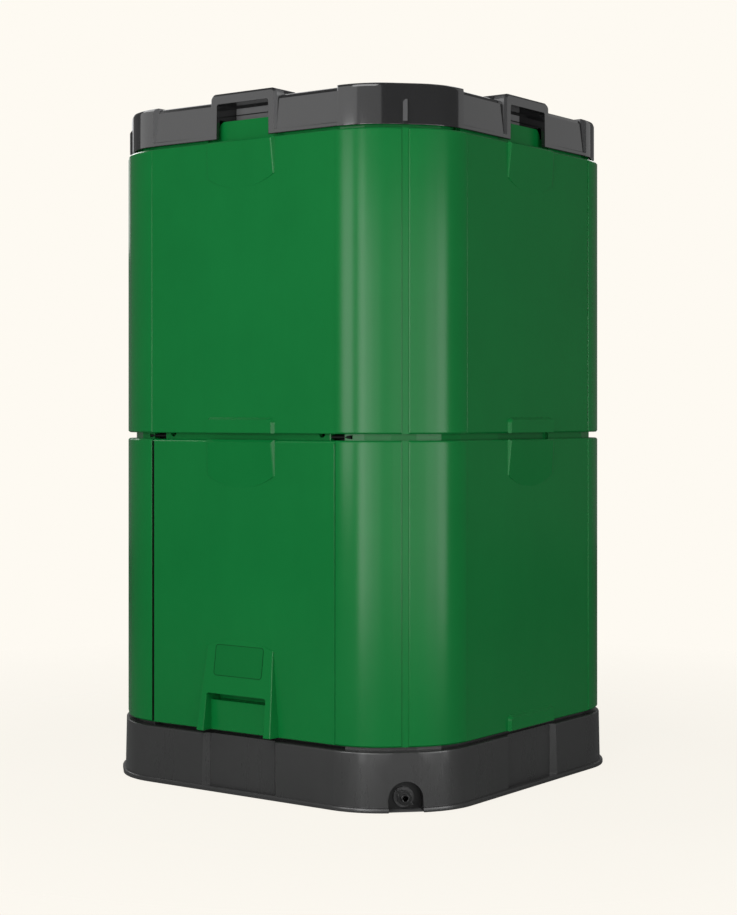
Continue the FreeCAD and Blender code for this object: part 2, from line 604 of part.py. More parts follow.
def drainage_grate():
    """Slotted plates over the tray: two halves whose ribs carry a bridge on each side of the core's opening."""
    plate = block(BASE_SEAT_BACK + CLEARANCE, GRATE_LOW, GRATE_TOP)
    pitch_x = GRATE_SLOT_LENGTH + GRATE_BAR_X
    pitch_y = GRATE_SLOT_WIDTH + GRATE_BAR_Y
    field = WALL_HALF - TRAY_BACK - GRATE_BAR_Y
    columns = int((field - GRATE_SLOT_LENGTH / 2) // pitch_x)
    rows = int((field - GRATE_SLOT_WIDTH / 2) // pitch_y)
    foot_x = CORE_HALF_WIDTH - CORE_WALL - CORE_FOOTING
    foot_y = CORE_HALF_DEPTH - CORE_WALL - CORE_FOOTING
    cuts = [Part.makeBox(2 * WALL_HALF, 2 * foot_y, GRATE_THICKNESS, V(-WALL_HALF, -foot_y, GRATE_LOW))]
    for column in range(-columns, columns + 1):
        for row in range(-rows, rows + 1):
            if abs(row * pitch_y) > CORE_HALF_DEPTH + GRATE_SLOT_WIDTH:
                corner = V(column * pitch_x - GRATE_SLOT_LENGTH / 2,
                           row * pitch_y - GRATE_SLOT_WIDTH / 2, GRATE_LOW)
                cuts.append(Part.makeBox(GRATE_SLOT_LENGTH, GRATE_SLOT_WIDTH, GRATE_THICKNESS, corner))
    rib_half = WALL_HALF - TRAY_BACK - CLEARANCE
    rib = Part.makeBox(2 * rib_half, GRATE_RIB_WIDTH, GRATE_RIB_DEPTH,
                       V(-rib_half, foot_y - GRATE_LEDGE, GRATE_LOW - GRATE_RIB_DEPTH))
    halves = plate.cut(cuts).fuse([rib, turned(rib, 2)]).removeSplitter()
    bridge_half = foot_y - CLEARANCE
    bridge = plate.common(Part.makeBox(WALL_HALF, 2 * bridge_half, GRATE_THICKNESS,
                                       V(foot_x, -bridge_half, GRATE_LOW)))
    return Part.makeCompound(halves.Solids + bridge.Solids + turned(bridge, 2).Solids)


def core_half():
    """Front half of the aeration core: a channel with cross slots."""
    side = CORE_HALF_WIDTH - CORE_WALL
    half = Part.makeBox(2 * CORE_HALF_WIDTH, CORE_HALF_DEPTH, CORE_HEIGHT,
                        V(-CORE_HALF_WIDTH, -CORE_HALF_DEPTH, GRATE_TOP))
    half = half.cut(Part.makeBox(2 * side, CORE_HALF_DEPTH - CORE_WALL, CORE_HEIGHT,
                                 V(-side, CORE_WALL - CORE_HALF_DEPTH, GRATE_TOP)))
    slot_half = CORE_HALF_WIDTH - CORE_SLOT_MARGIN
    pitch = CORE_SLOT_HEIGHT + CORE_BAR
    count = int((CORE_HEIGHT - pitch - CORE_CAP_LAP) // pitch)
    slots = []
    for step in range(count):
        z = GRATE_TOP + (step + 1) * pitch - CORE_SLOT_HEIGHT / 2
        for left in (-slot_half, CORE_WALL):
            slots.append(Part.makeBox(slot_half - CORE_WALL, CORE_WALL, CORE_SLOT_HEIGHT,
                                      V(left, -CORE_HALF_DEPTH, z)))
    return half.cut(slots)


def core_cap():
    """Cap that laps over both halves of the core."""
    top = GRATE_TOP + CORE_HEIGHT
    low = top - CORE_CAP_LAP
    half_x = CORE_HALF_WIDTH + CLEARANCE
    half_y = CORE_HALF_DEPTH + CLEARANCE
    outer = Part.makeBox(2 * (half_x + CORE_WALL), 2 * (half_y + CORE_WALL), CORE_CAP_LAP + CORE_CAP_RISE,
                         V(-half_x - CORE_WALL, -half_y - CORE_WALL, low))
    outer = outer.makeChamfer(CORE_CAP_RISE / 2, edges_at(outer, top + CORE_CAP_RISE))
    return outer.cut(Part.makeBox(2 * half_x, 2 * half_y, CORE_CAP_LAP, V(-half_x, -half_y, low)))


def tap():
    """Tap on the corner diagonal: body, turning nozzle with lever, and back nut."""
    back = arch_back()
    barrel = back + TAP_FLANGE_THICKNESS
    face = barrel + TAP_BARREL_LENGTH
    nut_end = tap_seat()
    tail = nut_end - TAP_NUT_LENGTH
    body = on_tap_axis(TAP_FLANGE_RADIUS, back, barrel)
    body = body.fuse([on_tap_axis(TAP_BARREL_RADIUS, barrel, face),
                      on_tap_axis(TAP_SHANK_RADIUS, tail, back)])
    spigot_foot = face - TAP_SPIGOT_LENGTH
    body = body.cut([on_tap_axis(TAP_BORE_RADIUS, tail, face),
                     on_tap_axis(TAP_SPIGOT_RADIUS + CLEARANCE, spigot_foot, face)]).removeSplitter()
    start = face + CLEARANCE
    cap_end = start + TAP_CAP_LENGTH
    tip = cap_end + TAP_NOZZLE_LENGTH
    plug = on_tap_axis(TAP_BARREL_RADIUS, start, cap_end)
    lever = Part.makeBox(TAP_CAP_LENGTH, 2 * LEVER_REACH, LEVER_WIDTH,
                         V(start, -LEVER_REACH, -LEVER_WIDTH / 2))
    lever.rotate(MIDDLE, V(1, 0, 0), LEVER_ANGLE)
    lever.rotate(MIDDLE, UP, -45)
    lever.translate(V(0, 0, TAP_HEIGHT))
    plug = plug.fuse([lever, on_tap_axis(TAP_NOZZLE_RADIUS, cap_end, tip),
                      on_tap_axis(TAP_SPIGOT_RADIUS, spigot_foot + CLEARANCE, start)])
    plug = plug.cut(on_tap_axis(TAP_BORE_RADIUS, spigot_foot, tip)).removeSplitter()
    nut = Part.Face(Part.makePolygon([V(tail, TAP_NUT_ACROSS * math.cos(math.radians(60 * corner)),
                                        TAP_NUT_ACROSS * math.sin(math.radians(60 * corner)))
                                      for corner in range(7)])).extrude(V(TAP_NUT_LENGTH, 0, 0))
    nut.rotate(MIDDLE, UP, -45)
    nut.translate(V(0, 0, TAP_HEIGHT))
    nut = nut.cut(on_tap_axis(TAP_SHANK_RADIUS + CLEARANCE / 2, tail, nut_end))
    return {"tap_body": body, "tap_plug": plug, "tap_back_nut": nut}


def lid_corner(shape, margin):
    """Front right corner of a lid solid, between ends that slant back into the sides."""
    near = FLAT_HALF + LID_CORNER_GAP + margin
    face = WALL_HALF - LID_OUT
    back = near - LID_CORNER_RUN
    floor = face - LID_CORNER_RUN
    plan = [V(near, -WALL_HALF, LID_LOW), V(near, -face, LID_LOW), V(back, -floor, LID_LOW),
            V(back, -back, LID_LOW), V(floor, -back, LID_LOW), V(face, -near, LID_LOW),
            V(WALL_HALF, -near, LID_LOW), V(WALL_HALF, -WALL_HALF, LID_LOW)]
    keep = Part.Face(Part.makePolygon(plan + plan[:1])).extrude(V(0, 0, LID_HIGH - LID_LOW))
    return shape.common(keep)


def corner_rib():
    """Short upright rib on the lid's front right corner."""
    face = corner_reach(LID_OUT)
    top = LID_LOW + LID_RIB_HEIGHT
    profile = [V(face - LID_RIB_PROUD, 0, LID_LOW), V(face + LID_RIB_PROUD, 0, LID_LOW),
               V(face + LID_RIB_PROUD, 0, top - LID_RIB_SLANT), V(face, 0, top),
               V(face - LID_RIB_PROUD, 0, top)]
    rib = Part.Face(Part.makePolygon(profile + profile[:1])).extrude(V(0, LID_RIB_WIDTH, 0))
    rib.translate(V(0, -LID_RIB_WIDTH / 2, 0))
    rib.rotate(MIDDLE, UP, -45)
    return rib


def handle_frame():
    """Arched handle on the front of the lid, bridging back over the lid's top."""
    frame = front_prism(rounded_top(HANDLE_HALF, LID_LOW, HANDLE_TOP, HANDLE_CORNER), LID_OUT,
                        LID_OUT + HANDLE_DEPTH)
    front = LID_OUT - WALL_HALF
    rim = [edge for edge in frame.Edges if edge.BoundBox.ZMax > LID_LOW + CLEARANCE
           and abs(edge.BoundBox.YMin - front) + abs(edge.BoundBox.YMax - front) < CLEARANCE]
    return frame.makeChamfer(HANDLE_EDGE, rim)


def grip_pocket():
    """Walls behind the front grip opening: two sides that stand on the liner's flange, and a back."""
    half = GRIP_HALF + SKIN
    top = LID_TOP - SKIN
    flange = LINER_LOW + SKIN
    over_tab = WALL_TOP + TAB_RISE + TONGUE_CLEARANCE
    pocket = face_box(-half, half, LINER_OUT, LINER_BACK, flange, top)
    pocket = pocket.fuse(face_box(-half, half, LID_SIDE_TOP, LINER_BACK, over_tab, top))
    room = face_box(-GRIP_HALF, GRIP_HALF, LID_SIDE_TOP, LINER_BACK - SKIN, flange, top)
    liner_wall = face_box(-half, half, LINER_BACK - SKIN - CLEARANCE, LINER_BACK,
                          flange, LINER_TOP + LINER_SEAM)
    return pocket.cut([room, liner_wall])


def lid_shell():
    """Lid moulding: lip, leaning sides, raised corners with ribs, and four handles over grip pockets."""
    body = eased_block(LID_SIDE_INSET, LID_SIDE_TOP, LID_LOW, LID_TOP, LID_EDGE)
    lip = block(LID_OUT, LID_LOW, LID_LOW + LID_LIP_HEIGHT)
    corner = lid_corner(eased_block(LID_OUT, LID_OUT, LID_LOW, LID_HIGH, LID_EDGE), 0)
    roof = LID_TOP - SKIN
    hollow = Part.makeLoft([outline(LID_SIDE_INSET + SKIN, LID_LOW), outline(LID_SIDE_TOP + SKIN, roof)],
                           True, True)
    corner_hollow = lid_corner(block(LID_OUT + SKIN, LID_LOW, roof), SKIN)
    grip = front_prism(rounded_top(GRIP_HALF, LID_LOW, GRIP_TOP, GRIP_CORNER), LID_OUT, LID_SIDE_TOP + SKIN)
    shell = body.fuse([lip] + all_sides(corner) + all_sides(handle_frame()))
    shell = shell.cut([hollow] + all_sides(corner_hollow) + all_sides(grip))
    return shell.fuse(all_sides(corner_rib()) + all_sides(grip_pocket())).removeSplitter()


def lid_liner():
    """Shallow inverted tray inside the lid; its flange rests on the walls through the seal."""
    liner = block(LINER_BACK - SKIN, LINER_LOW, LINER_TOP).fuse(block(LINER_OUT, LINER_LOW, LINER_LOW + SKIN))
    return liner.cut(block(LINER_BACK, LINER_LOW, LINER_TOP - SKIN)).removeSplitter()


def lid_foam():
    """Foam slab between the liner and the top of the lid."""
    return block(LINER_BACK + CLEARANCE, LINER_TOP + CLEARANCE, LID_TOP - SKIN - CLEARANCE)


def build():
    """Every piece by name."""
    pieces = {
        "base_shell": base_shell(),
        "reservoir_tray": reservoir_tray(),
        "drainage_grate": drainage_grate(),
        "core_front": core_half(),
        "core_rear": turned(core_half(), 2),
        "core_cap": core_cap(),
        "lid_shell": lid_shell(),
        "lid_liner": lid_liner(),
        "lid_foam": lid_foam(),
        "lid_seal": ring(SHELL_DEPTH - SEAL_OVERLAP, WALL_DEPTH + SEAL_OVERLAP, SEAL_LOW, LINER_LOW),
    }
    pieces.update(tap())
    corner = corner_wall()
    panel = flat_panel()
    hung = door()
    placed = [("right_lower_wall", corner, 0, 0), ("left_lower_wall", corner, 2, 0),
              ("rear_upper_wall", corner, 1, LEVEL_PITCH), ("front_upper_wall", corner, -1, LEVEL_PITCH),
              ("right_upper_panel", panel, 1, LEVEL_PITCH), ("left_upper_panel", panel, -1, LEVEL_PITCH),
              ("front_door", hung, 0, 0), ("rear_door", hung, 2, 0)]
    for name, layers, quarters, lift in placed:
        for layer, shape in layers.items():
            copy = turned(shape, quarters)
            copy.translate(V(0, 0, lift))
            pieces[name + "_" + layer] = copy
    return pieces


os.makedirs("parts", exist_ok=True)
for piece_name, piece in build().items():
    piece.exportStep("parts/" + piece_name + ".step")
    print(piece_name, len(piece.Solids), piece.isValid(), round(piece.Volume))
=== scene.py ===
# %% [markdown]
# # Dressing an insulated compost bin
# The bin's pieces arrive as a fixed frame: every moulding already has its true size and place. This lesson
# softens their edges, gives each plastic its finish, adds the few small pieces that only the eye needs,
# and sets up a plain studio with the viewpoint of the reference picture.

# %% Load the frame
import json
import math

import bpy
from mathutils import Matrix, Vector


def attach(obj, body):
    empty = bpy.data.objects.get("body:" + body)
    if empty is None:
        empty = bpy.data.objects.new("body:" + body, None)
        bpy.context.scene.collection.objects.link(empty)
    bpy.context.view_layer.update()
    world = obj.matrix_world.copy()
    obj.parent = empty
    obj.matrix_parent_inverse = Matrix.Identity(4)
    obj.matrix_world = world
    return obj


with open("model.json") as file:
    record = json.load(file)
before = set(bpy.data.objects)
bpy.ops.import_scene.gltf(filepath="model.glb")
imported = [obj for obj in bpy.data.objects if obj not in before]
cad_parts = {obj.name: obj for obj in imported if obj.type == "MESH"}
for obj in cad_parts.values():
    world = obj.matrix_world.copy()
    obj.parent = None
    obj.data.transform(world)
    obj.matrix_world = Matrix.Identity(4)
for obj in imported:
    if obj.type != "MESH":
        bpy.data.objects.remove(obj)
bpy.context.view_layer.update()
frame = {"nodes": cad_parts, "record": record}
nodes = frame["nodes"]
slot_of = {part["node"]: part["material_slot"] for part in frame["record"]["subparts"]}
body_of = {node: body for body, group in frame["record"]["behaviour"]["bodies"].items() for node in group}
MM = 0.001

# %% [markdown]
# ## Wiring a shader with plain arithmetic
# A finish is a small network of nodes. Wiring it by hand is slow to read, so one class wraps a socket:
# adding or multiplying two wires makes the Math node between them, and `node` makes any other node from
# its type, its settings and what its sockets get.


# %% A socket that can be added and multiplied
class Wire:
    """A socket of one material's network, or the network itself while no socket is given."""

    def __init__(self, tree, socket=None):
        self.tree = tree
        self.socket = socket

    def node(self, kind, settings=None, sockets=None, output=0, family="ShaderNode"):
        made = self.tree.nodes.new(family + kind)
        for name, value in (settings or {}).items():
            if name == "stops":
                for element, (position, shade) in zip(made.color_ramp.elements, value):
                    element.position = position
                    element.color = (shade, shade, shade, 1.0)
            else:
                setattr(made, name, value)
        for name, value in (sockets or {}).items():
            if isinstance(value, Wire):
                self.tree.links.new(value.socket, made.inputs[name])
            else:
                made.inputs[name].default_value = value
        return Wire(self.tree, made.outputs[output] if made.outputs else None)

    def math(self, operation, first, second):
        return self.node("Math", {"operation": operation}, {0: first, 1: second})

    def __add__(self, other):
        return self.math("ADD", self, other)

    def __radd__(self, other):
        return self.math("ADD", other, self)

    def __sub__(self, other):
        return self.math("SUBTRACT", self, other)

    def __rsub__(self, other):
        return self.math("SUBTRACT", other, self)

    def __mul__(self, other):
        return self.math("MULTIPLY", self, other)

    def __rmul__(self, other):
        return self.math("MULTIPLY", other, self)


def screen_colour(red, green, blue):
    """Linear colour of a value read from a screen in 0 to 255."""
    def linear(value):
        share = value / 255
        return share / 12.92 if share <= 0.04045 else ((share + 0.055) / 1.055) ** 2.4
    return (linear(red), linear(green), linear(blue), 1.0)


# %% [markdown]
# ## Moulded plastic
# Every large piece of the bin is injection moulded. Close up such a surface is never one flat colour: the
# pigment varies a little from cloud to cloud, the tool leaves a fine grain, and handling polishes some
# patches and dulls others. One function builds that from four noises on Object coordinates, so that the
# pattern has a real size in metres, and each plastic then only states its colours, gloss and grain.


# %% A moulded plastic
CLOUD = {"Scale": 5.0, "Detail": 4.0, "Roughness": 0.6}
STREAK = {"Scale": 2.0, "Detail": 6.0, "Roughness": 0.7}
STREAK_STRETCH = (9.0, 9.0, 1.6)
PEEL = {"Scale": 70.0, "Detail": 1.0}
CLOUD_SHARE = 0.65
STREAK_SHARE = 0.35
TINT_STOPS = ((0.3, 0.0), (0.7, 1.0))
GRAIN_WEIGHT = 0.8
PEEL_WEIGHT = 0.9
BUMP_STRENGTH = 0.6


def moulded_plastic(name, deep, pale, roughness, swing, grain, gloss=0.5, index=1.5):
    """Plastic whose tint, polish and relief vary from place to place; grain is its size and depth."""
    grain_size, grain_depth = grain
    material = bpy.data.materials.new(name)
    material.use_nodes = True
    tree = material.node_tree
    shader = tree.nodes["Principled BSDF"]
    wire = Wire(tree)
    place = wire.node("TexCoord", output="Object")
    cloud = wire.node("TexNoise", {}, {"Vector": place, **CLOUD})
    stretched = wire.node("Mapping", {}, {"Vector": place, "Scale": STREAK_STRETCH})
    streak = wire.node("TexNoise", {}, {"Vector": stretched, **STREAK})
    speck = wire.node("TexNoise", {}, {"Vector": place, "Scale": 1.0 / grain_size, "Detail": 2.0})
    peel = wire.node("TexNoise", {}, {"Vector": place, **PEEL})
    blend = cloud * CLOUD_SHARE + streak * STREAK_SHARE
    tint = wire.node("ValToRGB", {"stops": TINT_STOPS}, {"Fac": blend})
    mix = wire.node("Mix", {"data_type": "RGBA"}, {"Factor": tint, "A": deep, "B": pale}, output=2)
    rough = roughness - swing / 2 + swing * streak
    relief = speck * GRAIN_WEIGHT + peel * PEEL_WEIGHT
    bump = wire.node("Bump", {}, {"Strength": BUMP_STRENGTH, "Distance": grain_depth, "Height": relief})
    tree.links.new(mix.socket, shader.inputs["Base Color"])
    tree.links.new(rough.socket, shader.inputs["Roughness"])
    tree.links.new(bump.socket, shader.inputs["Normal"])
    shader.inputs["Specular IOR Level"].default_value = gloss
    shader.inputs["IOR"].default_value = index
    return material


print("plastic: streaks stretched", STREAK_STRETCH)

# %% [markdown]
# ## The finishes
# Each slot of the frame gets its plastic, from a deep and a pale shade of one pigment. The lid is dark and
# very glossy, and looks mid grey where it mirrors a lamp; the walls are satin; what lies inside is dull. The
# tap's body gets a paler grey than its plug, a painted highlight for the grey rim it shows in its shaded
# arch, and a few more shades are for the small pieces that are made further on.

# %% Finishes of the slots and of the small pieces
# Size and depth of each grain
FINE_GRAIN = (1.2 * MM, 0.01 * MM)
LINER_GRAIN = (1.5 * MM, 0.02 * MM)
BASE_GRAIN = (1.4 * MM, 0.02 * MM)
DULL_GRAIN = (1.5 * MM, 0.1 * MM)
TAP_GRAIN = (1.0 * MM, 0.02 * MM)
PIN_GRAIN = (1.0 * MM, 0.04 * MM)
FOAM_CELLS = (4.0 * MM, 1.2 * MM)
RUBBER_GRAIN = (2.0 * MM, 0.2 * MM)
SEAM_GRAIN = (2.0 * MM, 0.1 * MM)
finishes = {
    "wall_green": moulded_plastic("wall_green", screen_colour(12, 125, 57), screen_colour(16, 132, 61),
                                  roughness=0.21, swing=0.05, grain=FINE_GRAIN, gloss=0.35),
    "lid_grey": moulded_plastic("lid_grey", screen_colour(30, 30, 31), screen_colour(35, 35, 36),
                                roughness=0.1, swing=0.03, grain=FINE_GRAIN, index=1.85),
    "liner_grey": moulded_plastic("liner_grey", screen_colour(58, 58, 59), screen_colour(66, 66, 67),
                                  roughness=0.25, swing=0.06, grain=LINER_GRAIN, index=1.8),
    "base_grey": moulded_plastic("base_grey", screen_colour(57, 57, 57), screen_colour(64, 64, 64),
                                 roughness=0.28, swing=0.08, grain=BASE_GRAIN, index=1.75),
    "tray_black": moulded_plastic("tray_black", screen_colour(24, 24, 24), screen_colour(32, 32, 32),
                                  roughness=0.55, swing=0.1, grain=DULL_GRAIN),
    "core_black": moulded_plastic("core_black", screen_colour(26, 26, 26), screen_colour(34, 34, 34),
                                  roughness=0.55, swing=0.1, grain=DULL_GRAIN),
    "inner_skin": moulded_plastic("inner_skin", screen_colour(28, 30, 29), screen_colour(38, 40, 39),
                                  roughness=0.5, swing=0.1, grain=DULL_GRAIN),
    "tap_black": moulded_plastic("tap_black", screen_colour(24, 24, 24), screen_colour(30, 30, 30),
                                 roughness=0.25, swing=0.08, grain=TAP_GRAIN, index=1.8),
    "door_pins": moulded_plastic("door_pins", screen_colour(16, 16, 16), screen_colour(24, 24, 24),
                                 roughness=0.4, swing=0.1, grain=PIN_GRAIN),
    "wall_foam": moulded_plastic("wall_foam", screen_colour(214, 206, 178), screen_colour(232, 226, 204),
                                 roughness=0.9, swing=0.05, grain=FOAM_CELLS),
    "seal_rubber": moulded_plastic("seal_rubber", screen_colour(20, 20, 20), screen_colour(30, 30, 30),
                                   roughness=0.7, swing=0.1, grain=RUBBER_GRAIN),
}
label_field = moulded_plastic("label_field", screen_colour(11, 119, 54), screen_colour(14, 126, 58),
                              roughness=0.24, swing=0.05, grain=FINE_GRAIN, gloss=0.3)
label_rim = moulded_plastic("label_rim", screen_colour(7, 88, 40), screen_colour(9, 94, 43),
                            roughness=0.24, swing=0.05, grain=FINE_GRAIN, gloss=0.3)
grip_painted_light_grey = moulded_plastic("grip_painted_light_grey", screen_colour(138, 138, 139), screen_colour(146, 146, 147),
                            roughness=0.5, swing=0.05, grain=FINE_GRAIN, gloss=0.3)
sill_shade_grey = moulded_plastic("sill_shade_grey", screen_colour(112, 112, 112), screen_colour(120, 120, 120),
                            roughness=0.5, swing=0.05, grain=FINE_GRAIN, gloss=0.3)
# The tap body's paler grey is a painted highlight
tap_highlight_grey = moulded_plastic("tap_highlight_grey", screen_colour(80, 80, 80), screen_colour(90, 90, 90),
                          roughness=0.25, swing=0.08, grain=TAP_GRAIN, index=1.8)
rib_glint_grey = moulded_plastic("rib_glint_grey", screen_colour(92, 92, 93), screen_colour(100, 100, 101),
                           roughness=0.4, swing=0.05, grain=FINE_GRAIN)
seam_shade_black = moulded_plastic("seam_shade_black", screen_colour(5, 9, 6), screen_colour(8, 13, 9),
                             roughness=0.8, swing=0.1, grain=SEAM_GRAIN, gloss=0.1)
for node, obj in nodes.items():
    obj.data.materials.clear()
    obj.data.materials.append(tap_highlight_grey if node == "tap_body" else finishes[slot_of[node]])
print("finishes:", len(finishes))

# %% [markdown]
# ## Painted light on the lid's flanks
# Beside each handle and raised corner the lid has narrow flanks that lean back to the wall. They should look
# as grey as the rest, though all they can mirror is the wall next to them. A mask made from place and facing
# direction paints light on just those faces of the front and the right side, as a paler grey. The right
# side's flanks look towards the strongest lamp, so they get less of the painted light.

# %% Flanks with painted light
FLANK_INNER = 0.064
FLANK_OUTER = 0.21
WALL_REACH = 0.33
RIGHT_LIGHT_SHARE = 0.4
FLANK_TURN = 0.5
FLANK_PAINTED_LIGHT = screen_colour(138, 138, 139)
wire = Wire(finishes["lid_grey"].node_tree)
place = wire.node("TexCoord", output="Object")
facing = wire.node("TexCoord", output="Normal")


def paint_light_and_shade(material, mask, colour):
    """Mixes a colour that paints light or shade into a finish where the mask is 1."""
    shader = material.node_tree.nodes["Principled BSDF"]
    pigment = Wire(mask.tree, shader.inputs["Base Color"].links[0].from_socket)
    mix = mask.node("Mix", {"data_type": "RGBA"}, {"Factor": mask, "A": pigment, "B": colour}, output=2)
    mask.tree.links.new(mix.socket, shader.inputs["Base Color"])


def flank_light_mask(along, outward):
    """1 on faces turned along a wall, between a handle and a corner, where light is painted; outward is
    positive beyond the wall.
    """
    offset = wire.math("ABSOLUTE", wire.node("SeparateXYZ", {}, {0: place}, output=along), 0.0)
    turned = wire.math("ABSOLUTE", wire.node("SeparateXYZ", {}, {0: facing}, output=along), 0.0)
    gain = 1 / (1 - FLANK_TURN)
    share = wire.node("Math", {"operation": "MULTIPLY_ADD", "use_clamp": True},
                      {0: turned, 1: gain, 2: -FLANK_TURN * gain})
    between = wire.math("GREATER_THAN", offset, FLANK_INNER) * wire.math("LESS_THAN", offset, FLANK_OUTER)
    return share * between * wire.math("GREATER_THAN", outward, WALL_REACH)


front_light_mask = flank_light_mask("X", wire.node("SeparateXYZ", {}, {0: place}, output="Y") * -1.0)
right_light_mask = flank_light_mask("Y", wire.node("SeparateXYZ", {}, {0: place}, output="X"))
# A paler grey on the front and right flanks: painted light
paint_light_and_shade(finishes["lid_grey"], front_light_mask + right_light_mask * RIGHT_LIGHT_SHARE, FLANK_PAINTED_LIGHT)
print("flanks: paler between", FLANK_INNER, "and", FLANK_OUTER, "m from the middle")

# %% [markdown]
# ## Painted shade in the recess round the tap
# The arched recess in the base's front right corner lies in deep shade, so the same kind of mask, measured
# along the corner's diagonal, paints that shade on its walls as near black and leaves the skirt around it
# alone.

# %% Recess
RECESS_OUT = 0.436
RECESS_BACK = 0.4132
RECESS_HALF = 0.032
RECESS_TOP = 0.053
RECESS_PAINTED_SHADE = screen_colour(8, 8, 8)
wire = Wire(finishes["base_grey"].node_tree)
place = wire.node("TexCoord", output="Object")
east = wire.node("SeparateXYZ", {}, {0: place}, output="X")
north = wire.node("SeparateXYZ", {}, {0: place}, output="Y")
height = wire.node("SeparateXYZ", {}, {0: place}, output="Z")
outward = (east - north) * math.sqrt(0.5)
aside = wire.math("ABSOLUTE", (east + north) * math.sqrt(0.5), 0.0)
recess = wire.math("LESS_THAN", outward, RECESS_OUT) * wire.math("GREATER_THAN", outward, RECESS_BACK)
recess = recess * wire.math("LESS_THAN", aside, RECESS_HALF) * wire.math("LESS_THAN", height, RECESS_TOP)
# Near black on the recess walls: painted shade
paint_light_and_shade(finishes["base_grey"], recess, RECESS_PAINTED_SHADE)
print("recess: dark up to", RECESS_TOP, "m")

# %% [markdown]
# ## Soft edges on every moulding
# No moulded edge is knife sharp: a radius of a millimetre or so catches the light. The frame's meshes stay
# as they are, so the rounding is a stack of live modifiers: weld the loose triangles, dissolve the flat ones
# into whole faces, mark the long outward edges, bevel those, and weight the normals so that the flats stay
# flat. Only long edges are marked, because a bevel on a short one would run into its neighbours.


# %% Round the long edges
OUTWARD_BEND = math.radians(50)
CREASE_BEND = math.radians(32)
FLAT_BEND = math.radians(0.5)
WELD_GAP = 0.02 * MM
BEVEL_STEPS = 2


def long_edges(shortest):
    """Node group that marks outward edges over a length, and creases the other sharp ones."""
    group = bpy.data.node_groups.new("long_edges", "GeometryNodeTree")
    for way in ("INPUT", "OUTPUT"):
        group.interface.new_socket("Geometry", in_out=way, socket_type="NodeSocketGeometry")
    wire = Wire(group)
    shape = wire.node("GroupInput", family="Node")
    bend = wire.node("InputMeshEdgeAngle", output="Signed Angle", family="GeometryNode")
    start = wire.node("InputMeshEdgeVertices", output="Position 1", family="GeometryNode")
    end = wire.node("InputMeshEdgeVertices", output="Position 2", family="GeometryNode")
    span = wire.node("VectorMath", {"operation": "DISTANCE"}, {0: start, 1: end}, output="Value")
    chosen = wire.math("GREATER_THAN", bend, OUTWARD_BEND) * wire.math("GREATER_THAN", span, shortest)
    weights = {"Geometry": shape, "Name": "bevel_weight_edge", "Value": chosen}
    marked = wire.node("StoreNamedAttribute", {"data_type": "FLOAT", "domain": "EDGE"}, weights,
                       family="GeometryNode")
    crease = wire.node("InputMeshEdgeAngle", output="Unsigned Angle", family="GeometryNode")
    left_sharp = wire.math("GREATER_THAN", crease, CREASE_BEND) * (1 - chosen)
    creases = {"Geometry": marked, "Selection": left_sharp, "Shade Smooth": False}
    creased = wire.node("SetShadeSmooth", {"domain": "EDGE"}, creases, family="GeometryNode")
    wire.node("GroupOutput", {}, {"Geometry": creased}, family="Node")
    return group


def soften(obj, radius, chooser):
    """Live rounding of the edges that the chooser marks."""
    weld = obj.modifiers.new("weld", "WELD")
    weld.merge_threshold = WELD_GAP
    flat = obj.modifiers.new("flat", "DECIMATE")
    flat.decimate_type = "DISSOLVE"
    flat.angle_limit = FLAT_BEND
    mark = obj.modifiers.new("mark", "NODES")
    mark.node_group = chooser
    bevel = obj.modifiers.new("bevel", "BEVEL")
    bevel.width = radius
    bevel.segments = BEVEL_STEPS
    bevel.limit_method = "WEIGHT"
    bevel.use_clamp_overlap = False
    normals = obj.modifiers.new("normals", "WEIGHTED_NORMAL")
    normals.keep_sharp = True


# Radius of the rounding and shortest edge that gets it
EDGES = {
    "wall_green": (1.5 * MM, 30 * MM),
    "door_green": (1.5 * MM, 15 * MM),
    "lid_grey": (1.0 * MM, 8 * MM),
    "base_grey": (1.0 * MM, 8 * MM),
    "tap_black": (0.5 * MM, 0.3 * MM),
}
choosers = {kind: long_edges(shortest) for kind, (radius, shortest) in EDGES.items()}
softened = 0
for node, obj in nodes.items():
    kind = "door_green" if node.endswith("door_outer") else slot_of[node]
    if kind in EDGES and node != "tap_back_nut":
        soften(obj, EDGES[kind][0], choosers[kind])
        softened += 1
print("softened:", softened, "nodes")

# %% [markdown]
# ## A blank label on the door's handle
# The cowl over the door's handle carries a small raised label with rounded corners, blank here. Two rays find
# the slope of the cowl; the label is shaped flat, with a thin rim round a sunken field, and then laid on it.

# %% Label plate
LABEL_HALF_WIDTH = 53 * MM
LABEL_LOW = 200 * MM
LABEL_HIGH = 253 * MM
LABEL_CORNER = 6 * MM
LABEL_CORNER_STEPS = 6
LABEL_PROUD = 0.7 * MM
LABEL_SINK = 0.4 * MM
LABEL_RIM = 1.1 * MM
door = nodes["front_door_outer"]
foot = door.ray_cast(Vector((0, -1, LABEL_LOW)), Vector((0, 1, 0)))[1]
head = door.ray_cast(Vector((0, -1, LABEL_HIGH)), Vector((0, 1, 0)))[1]
lean = math.atan2(head.y - foot.y, head.z - foot.z)
bpy.ops.object.select_all(action="DESELECT")
bpy.ops.mesh.primitive_plane_add(size=1)
label = bpy.context.object
label.name = "door_label"
label.data.materials.append(label_rim)
label.data.materials.append(label_field)
label.scale = (2 * LABEL_HALF_WIDTH, (head - foot).length, 1)
bpy.ops.object.transform_apply(location=False, rotation=False, scale=True)
bpy.ops.object.mode_set(mode="EDIT")
bpy.ops.mesh.select_all(action="SELECT")
bpy.ops.mesh.bevel(offset=LABEL_CORNER, segments=LABEL_CORNER_STEPS, affect="VERTICES")
bpy.ops.mesh.select_all(action="SELECT")
bpy.ops.mesh.extrude_region_move(TRANSFORM_OT_translate={"value": (0, 0, LABEL_PROUD)})
